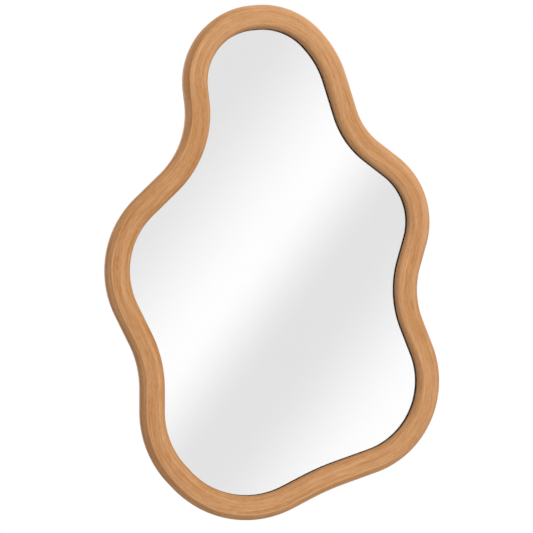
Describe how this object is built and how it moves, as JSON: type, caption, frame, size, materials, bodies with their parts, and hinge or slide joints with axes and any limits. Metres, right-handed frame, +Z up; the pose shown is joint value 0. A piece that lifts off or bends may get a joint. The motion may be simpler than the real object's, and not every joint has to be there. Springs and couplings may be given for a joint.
{
  "type": "wall mirror",
  "caption": "Wall mirror with an irregular wavy wooden frame round flat glass, hung by swinging rings on its back.",
  "frame": {"origin": "middle of the frame's outline, on the wall plane that the bumpers touch", "axes": "+X to the right seen from the front, +Z up the wall, -Y out of the mirror's front"},
  "size_m": [0.508, 0.026, 0.762],
  "materials": {
    "frame_wood": "satin lacquer",
    "dowel_wood": "raw",
    "clear_glass": "polished",
    "silver": "silvered face, painted back",
    "black_foam": "matte",
    "grey_foam": "matte",
    "hardboard": "smooth face",
    "zinc_steel": "zinc plated",
    "hanger_steel": "nickel plated",
    "ring_steel": "nickel plated",
    "bumper_rubber": "matte"
  },
  "bodies": {
    "mirror": {"frame_top": "frame_wood", "frame_upper_left": "frame_wood", "frame_left": "frame_wood", "frame_lower_left": "frame_wood", "frame_bottom": "frame_wood", "frame_bottom_right": "frame_wood", "frame_lower_right": "frame_wood", "frame_right_waist": "frame_wood", "frame_right": "frame_wood", "frame_upper_right": "frame_wood", "joint_dowels": "dowel_wood", "mirror_glass": "clear_glass", "silver_backing": "silver", "glazing_tape": "black_foam", "foam_pads": "grey_foam", "backing_board": "hardboard", "board_screws": "zinc_steel", "hanger_strap_left": "hanger_steel", "hanger_strap_right": "hanger_steel", "hanger_screws": "zinc_steel", "bumper_top": "bumper_rubber", "bumper_left": "bumper_rubber", "bumper_bottom": "bumper_rubber", "bumper_lower_right": "bumper_rubber", "bumper_right": "bumper_rubber"},
    "ring_left": {"hanger_ring_left": "ring_steel"},
    "ring_right": {"hanger_ring_right": "ring_steel"}
  },
  "joints": [
    {"name": "left_ring_swing", "type": "hinge", "parent": "mirror", "child": "ring_left", "pos_m": [-0.12359, -0.0035, 0.298], "axis": [0.9836, 0, -0.1802], "range_deg": [0, 175]},
    {"name": "right_ring_swing", "type": "hinge", "parent": "mirror", "child": "ring_right", "pos_m": [0.08898, -0.0035, 0.298], "axis": [0.9351, 0, 0.3543], "range_deg": [0, 175]}
  ]
}
